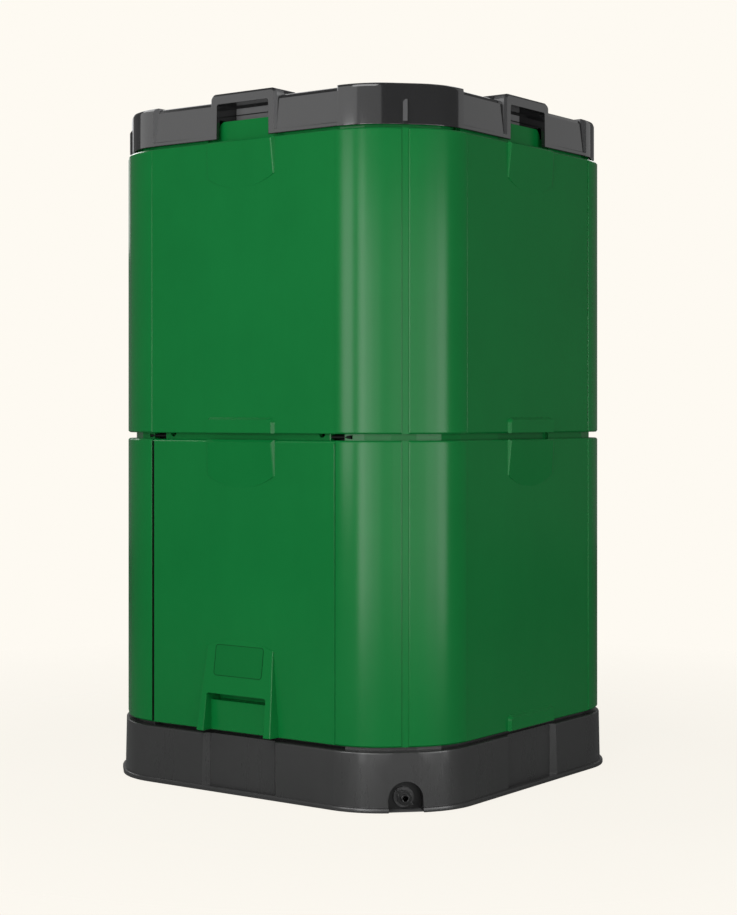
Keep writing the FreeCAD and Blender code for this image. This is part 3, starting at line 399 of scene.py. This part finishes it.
bpy.ops.mesh.inset(thickness=LABEL_RIM, depth=0)
bpy.ops.mesh.extrude_region_move(TRANSFORM_OT_translate={"value": (0, 0, -LABEL_SINK)})
label.active_material_index = 1
bpy.ops.object.material_slot_assign()
bpy.ops.mesh.select_all(action="SELECT")
bpy.ops.mesh.normals_make_consistent(inside=False)
bpy.ops.object.mode_set(mode="OBJECT")
label.rotation_euler = (math.pi / 2 - lean, 0, 0)
label.location = (head + foot) / 2
bpy.ops.object.transform_apply(location=True, rotation=True, scale=True)
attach(label, "front_door")
print("label:", len(label.data.polygons), "faces, leaning", round(math.degrees(lean), 1), "degrees")

# %% [markdown]
# ## Painted shade in the seam beside the door
# The seam on the door's left shows as a black line, wider than the one on its right: the shade in the gap. A
# thin black strip on that edge of the door paints that shade: it starts just short of the wall and laps over
# the door.

# %% Seam strip
SEAM_LEFT = -202.9 * MM
SEAM_RIGHT = -198.4 * MM
SEAM_LOW = 106.5 * MM
SEAM_HIGH = 600.5 * MM
SEAM_PROUD = 0.2 * MM
SEAM_DEPTH = 1.0 * MM
seam_middle = (SEAM_LOW + SEAM_HIGH) / 2
face = door.ray_cast(Vector((SEAM_RIGHT, -1, seam_middle)), Vector((0, 1, 0)))[1].y
bpy.ops.object.select_all(action="DESELECT")
bpy.ops.mesh.primitive_cube_add(size=1)
strip = bpy.context.object
strip.name = "door_seam_shade_strip"
strip.scale = (SEAM_RIGHT - SEAM_LEFT, SEAM_DEPTH, SEAM_HIGH - SEAM_LOW)
strip.location = ((SEAM_LEFT + SEAM_RIGHT) / 2, face - SEAM_PROUD + SEAM_DEPTH / 2, seam_middle)
bpy.ops.object.transform_apply(location=True, rotation=True, scale=True)
# Near black strip: painted shade in the gap
strip.data.materials.append(seam_shade_black)
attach(strip, "front_door")
print("seam strip:", round((SEAM_RIGHT - SEAM_LEFT) / MM, 1), "mm wide")

# %% [markdown]
# ## The backs of the lid's grips
# Behind each handle the lid's shell and its liner meet with a narrow joint. A thin pale plate lines the back
# of the pocket, so that the foam inside the lid doesn't show through; its pale grey is painted light,
# standing in for light that hardly reaches the deep pocket. A black strip draws the joint on it. Plate and
# strip are made once, for the front grip, and copied to the other three by quarter turns.

# %% Grip backs and joints
GRIP_HALF = 56.5 * MM
GRIP_BACK = 300.5 * MM
# How far out a bar reaches, and its lower and upper edge
GRIP_PLATE = (301.8 * MM, 1150.0 * MM, 1181.0 * MM)
GRIP_JOINT = (302.2 * MM, 1168.4 * MM, 1170.4 * MM)


def grip_bar(sizes, finish):
    """Box across the back of the front grip."""
    reach, low, high = sizes
    bpy.ops.object.select_all(action="DESELECT")
    bpy.ops.mesh.primitive_cube_add(size=1)
    bar = bpy.context.object
    bar.scale = (2 * GRIP_HALF, reach - GRIP_BACK, high - low)
    bar.location = (0, -(reach + GRIP_BACK) / 2, (low + high) / 2)
    bpy.ops.object.transform_apply(location=True, rotation=True, scale=True)
    bar.data.materials.append(finish)
    return bar


def quarter_copy(bar, quarter):
    """Copy of a bar with its own mesh, turned about the bin's middle."""
    bpy.ops.object.select_all(action="DESELECT")
    bar.select_set(True)
    bpy.context.view_layer.objects.active = bar
    bpy.ops.object.duplicate(linked=False)
    copy = bpy.context.object
    copy.rotation_euler = (0, 0, quarter * math.pi / 2)
    bpy.ops.object.transform_apply(location=True, rotation=True, scale=True)
    return copy


# The plate's pale grey is painted light
front_plate = grip_bar(GRIP_PLATE, grip_painted_light_grey)
front_joint = grip_bar(GRIP_JOINT, finishes["seal_rubber"])
for quarter, side in enumerate(("front", "right", "rear", "left")):
    back = quarter_copy(front_plate, quarter) if quarter else front_plate
    back.name = f"grip_back_{side}"
    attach(back, "lid")
    joint = quarter_copy(front_joint, quarter) if quarter else front_joint
    joint.name = f"grip_joint_{side}"
    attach(joint, "lid")
print("grips: 4 backs and 4 joints")

# %% [markdown]
# ## Painted glint on the rib of the lid's corner
# A short upright rib stands on the corner of the lid that faces the viewer. Its face shows paler than the
# glossy lid around it, where it catches a glint. A ray along the corner's diagonal finds that face, and a
# thin pale plate with one cut corner at its head is laid on it to paint that glint.

# %% Rib plate
RIB_HALF_WIDTH = 3.7 * MM
RIB_LOW = 1126.5 * MM
RIB_HIGH = 1162 * MM
RIB_CUT = 4 * MM
RIB_PLATE = 0.3 * MM
diagonal = Vector((1, -1, 0)).normalized()
middle = Vector((0, 0, (RIB_LOW + RIB_HIGH) / 2))
rib_face = nodes["lid_shell"].ray_cast(middle + diagonal, -diagonal)[1]
bpy.ops.object.select_all(action="DESELECT")
bpy.ops.mesh.primitive_plane_add(size=1)
plate = bpy.context.object
plate.name = "lid_rib_glint_plate"
plate.scale = (2 * RIB_HALF_WIDTH, RIB_HIGH - RIB_LOW, 1)
bpy.ops.object.transform_apply(location=False, rotation=False, scale=True)
bpy.ops.object.mode_set(mode="EDIT")
bpy.ops.mesh.select_mode(type="VERT")
bpy.ops.mesh.select_all(action="DESELECT")
bpy.ops.object.mode_set(mode="OBJECT")
for corner in plate.data.vertices:
    corner.select = corner.co.x < 0 < corner.co.y
bpy.ops.object.mode_set(mode="EDIT")
bpy.ops.mesh.bevel(offset=RIB_CUT, segments=1, affect="VERTICES")
bpy.ops.mesh.select_all(action="SELECT")
bpy.ops.mesh.extrude_region_move(TRANSFORM_OT_translate={"value": (0, 0, RIB_PLATE)})
bpy.ops.mesh.select_all(action="SELECT")
bpy.ops.mesh.normals_make_consistent(inside=False)
bpy.ops.object.mode_set(mode="OBJECT")
plate.rotation_euler = (math.pi / 2, 0, math.pi / 4)
plate.location = rib_face
bpy.ops.object.transform_apply(location=True, rotation=True, scale=True)
# Pale grey on the rib: painted glint
plate.data.materials.append(rib_glint_grey)
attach(plate, "lid")
print("rib plate:", len(plate.data.polygons), "faces")

# %% [markdown]
# ## A sill with painted shade in the tap recess
# The recess is closed at the ground by a grey sill, which hides the bright floor behind the skirt: it stands
# for the base's lip there, and its grey paints the shade that falls on the ground in the recess. It is a thin
# box on the corner's diagonal, between the back of the recess and the skirt.

# %% Sill
SILL_HALF = 29.8 * MM
SILL_OUT = 438.8 * MM
SILL_THICK = 0.6 * MM
bpy.ops.object.select_all(action="DESELECT")
bpy.ops.mesh.primitive_cube_add(size=1)
sill = bpy.context.object
sill.name = "tap_recess_shade_sill"
sill.scale = (SILL_OUT - RECESS_BACK, 2 * SILL_HALF, SILL_THICK)
sill.location = ((SILL_OUT + RECESS_BACK) / 2, 0, SILL_THICK / 2)
bpy.ops.object.transform_apply(location=True, rotation=True, scale=True)
sill.rotation_euler = (0, 0, -math.pi / 4)
bpy.ops.object.transform_apply(location=True, rotation=True, scale=True)
# The sill's grey is painted shade on the ground of the recess
sill.data.materials.append(sill_shade_grey)
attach(sill, "bin")
print("sill:", round((SILL_OUT - RECESS_BACK) / MM, 1), "mm deep")

# %% [markdown]
# ## A plain studio
# The picture shows the bin cut out on a warm cream ground. A pale disc stands for the floor: near the bin it
# takes the soft contact shadow, and further out it fades into a background of the same cream. The cream
# is only what the camera sees; the light on the bin comes from soft lamps and a neutral surround.

# %% Floor
CREAM = screen_colour(254, 250, 242)
FLOOR_RADIUS = 6.0
FLOOR_CORNERS = 96
FADE_START = 0.7
FADE_RATE = 0.8
FLOOR_GLOW = 1.04
GLOW_SHARE = 0.86
BOUNCE_GREY = (0.35, 0.35, 0.35, 1.0)
bpy.ops.object.select_all(action="DESELECT")
bpy.ops.mesh.primitive_circle_add(vertices=FLOOR_CORNERS, radius=FLOOR_RADIUS, fill_type="NGON")
floor = bpy.context.object
floor.name = "floor"
ground = bpy.data.materials.new("pale_floor")
ground.use_nodes = True
tree = ground.node_tree
tree.nodes.remove(tree.nodes["Principled BSDF"])
wire = Wire(tree)
place = wire.node("TexCoord", output="Object")
reach = wire.node("VectorMath", {"operation": "LENGTH"}, {0: place}, output="Value")
fade = wire.node("ValToRGB", {"stops": ((0.0, 0.0), (1.0, 1.0))}, {"Fac": (reach - FADE_START) * FADE_RATE})
matte = wire.node("BsdfDiffuse", {}, {"Color": CREAM})
glow = wire.node("Emission", {}, {"Color": CREAM, "Strength": FLOOR_GLOW})
clear = wire.node("BsdfTransparent")
pale = wire.node("MixShader", {}, {0: GLOW_SHARE, 1: matte, 2: glow})
cover = wire.node("MixShader", {}, {0: fade, 1: pale, 2: clear})
dull = wire.node("BsdfDiffuse", {}, {"Color": BOUNCE_GREY})
seen = wire.node("LightPath", output="Is Camera Ray")
surface = wire.node("MixShader", {}, {0: seen, 1: dull, 2: cover})
tree.links.new(surface.socket, tree.nodes["Material Output"].inputs["Surface"])
floor.data.materials.append(ground)
print("stage: floor of radius", FLOOR_RADIUS)

# %% [markdown]
# ## Background
# The world plays two parts. A camera ray sees the cream of the picture's ground; every other ray finds a weak
# neutral surround, so that the cream doesn't tint the plastics.

# %% World
SURROUND = 0.15
world = bpy.data.worlds.new("studio")
bpy.context.scene.world = world
world.use_nodes = True
tree = world.node_tree
wire = Wire(tree)
seen = wire.node("LightPath", output="Is Camera Ray")
surround = wire.node("Background", {}, {"Color": (1.0, 1.0, 1.0, 1.0), "Strength": SURROUND})
backdrop = wire.node("Background", {}, {"Color": CREAM, "Strength": 1.0})
both = wire.node("MixShader", {}, {0: seen, 1: surround, 2: backdrop})
tree.links.new(both.socket, tree.nodes["World Output"].inputs["Surface"])
print("background: cream, surround of strength", SURROUND)

# %% [markdown]
# ## Lamps
# The walls are glossy, so what they mirror matters as much as what lights them. Upright soft boxes stand on a
# ring round the bin, each filling a range of bearings and heights: two narrow ones make the paired bright
# bands on the rounded corner, weaker ones let the second band fade towards the viewer, a row that grows
# brighter lights the corner's right half, and four high ones are linked to the lid's pieces alone. A big box
# high above the front gives most of the plain light; one on the left and two behind fill in, of which the
# brighter leaves out the lid, whose glossy top would only mirror it.


# %% Soft boxes
RING = 3.2


def soft_box(name, place, target, width, tall, radiance, lit_only=None):
    """Area light of a given brightness, aimed at a point, for all pieces or for one collection of them."""
    bpy.ops.object.select_all(action="DESELECT")
    bpy.ops.object.light_add(type="AREA", location=place)
    lamp = bpy.context.object
    lamp.name = name
    lamp.data.shape = "RECTANGLE"
    lamp.data.size = width
    lamp.data.size_y = tall
    lamp.data.energy = radiance * math.pi * width * tall
    lamp.rotation_euler = (Vector(target) - lamp.location).to_track_quat("-Z", "Y").to_euler()
    lamp.visible_camera = False
    if lit_only:
        lamp.light_linking.receiver_collection = lit_only


def ring_box(name, start, end, low, high, radiance, lit_only=None):
    """Upright soft box that fills the bearings from start to end, in degrees, on the ring."""
    middle = math.radians((start + end) / 2)
    half = math.radians((end - start) / 2)
    reach = RING * math.cos(half)
    height = (low + high) / 2
    place = (reach * math.cos(middle), reach * math.sin(middle), height)
    soft_box(name, place, (0, 0, height), 2 * RING * math.sin(half), high - low, radiance, lit_only)


# %% [markdown]
# ## Placing the boxes
# Each ring box is given its first and last bearing in degrees, its lower and upper edge in metres, and its
# brightness. Two collections say which pieces a linked lamp lights.

# %% Boxes on the ring and the key light
lid_pieces = bpy.data.collections.new("lid_pieces")
other_pieces = bpy.data.collections.new("other_pieces")
for node, obj in nodes.items():
    group = lid_pieces if body_of[node] == "lid" else other_pieces
    group.objects.link(obj)
ring_box("first_band", -108, -91, 0.42, 1.52, 3.4)
ring_box("second_band", -83, -74, 0.0, 1.45, 4.2)
ring_box("second_fade", -74, -65, 0.0, 1.3, 2.6)
ring_box("front_fade", -65, -54, 0.0, 1.3, 1.6)
ring_box("front_dim", -54, -40, 0.0, 1.3, 0.7)
ring_box("right_rise", -40, -25, 0.0, 1.3, 1.1)
ring_box("right_middle", -25, -8, 0.0, 1.3, 1.9)
ring_box("right_bright", -8, 6, 0.0, 1.3, 3.0)
ring_box("left_high", -165, -126, 1.3, 2.8, 0.86, lid_pieces)
ring_box("middle_high", -126, -87, 1.3, 2.8, 0.86, lid_pieces)
ring_box("corner_high", -87, -52, 1.3, 2.8, 0.42, lid_pieces)
ring_box("right_high", 34, 75, 1.3, 2.8, 0.44, lid_pieces)
ring_box("left_fill", -165, -140, 2.4, 3.4, 2.6)
ring_box("back_fill", 115, 160, 1.2, 2.8, 0.8)
ring_box("back_high", 95, 170, 1.9, 3.4, 3.2, other_pieces)
soft_box("key", (0.7, -3.2, 3.0), (0, 0, 0.6), 2.4, 1.6, 2.65)

# %% [markdown]
# ## Viewpoint
# The picture was taken level, a little above half the bin's height and some way off the front corner. The
# bearing, distance and focal length were worked out from the bin's known width, depth and height; a small
# shift keeps the camera level while the bin sits just above the frame's middle, as it does in the picture.

# %% Camera
VIEW_BEARING = math.radians(36.21)
VIEW_DISTANCE = 3.4731
VIEW_HEIGHT = 0.6473
FRAME_HEIGHT_PX = 915
FOCAL_PX = 1867.3
SENSOR = 36.0
SHIFT_ACROSS = 0.0042
SHIFT_UP = -0.0469
camera_data = bpy.data.cameras.new("viewpoint")
camera = bpy.data.objects.new("viewpoint", camera_data)
bpy.context.scene.collection.objects.link(camera)
ahead = Vector((math.sin(VIEW_BEARING), -math.cos(VIEW_BEARING), 0))
camera.location = ahead * VIEW_DISTANCE + Vector((0, 0, VIEW_HEIGHT))
camera.rotation_euler = (math.pi / 2, 0, VIEW_BEARING)
camera_data.sensor_width = SENSOR
camera_data.lens = FOCAL_PX * SENSOR / FRAME_HEIGHT_PX
camera_data.shift_x = SHIFT_ACROSS
camera_data.shift_y = SHIFT_UP
bpy.context.scene.camera = camera
bpy.context.scene.view_settings.view_transform = "Standard"
print("camera lens", round(camera_data.lens, 2))
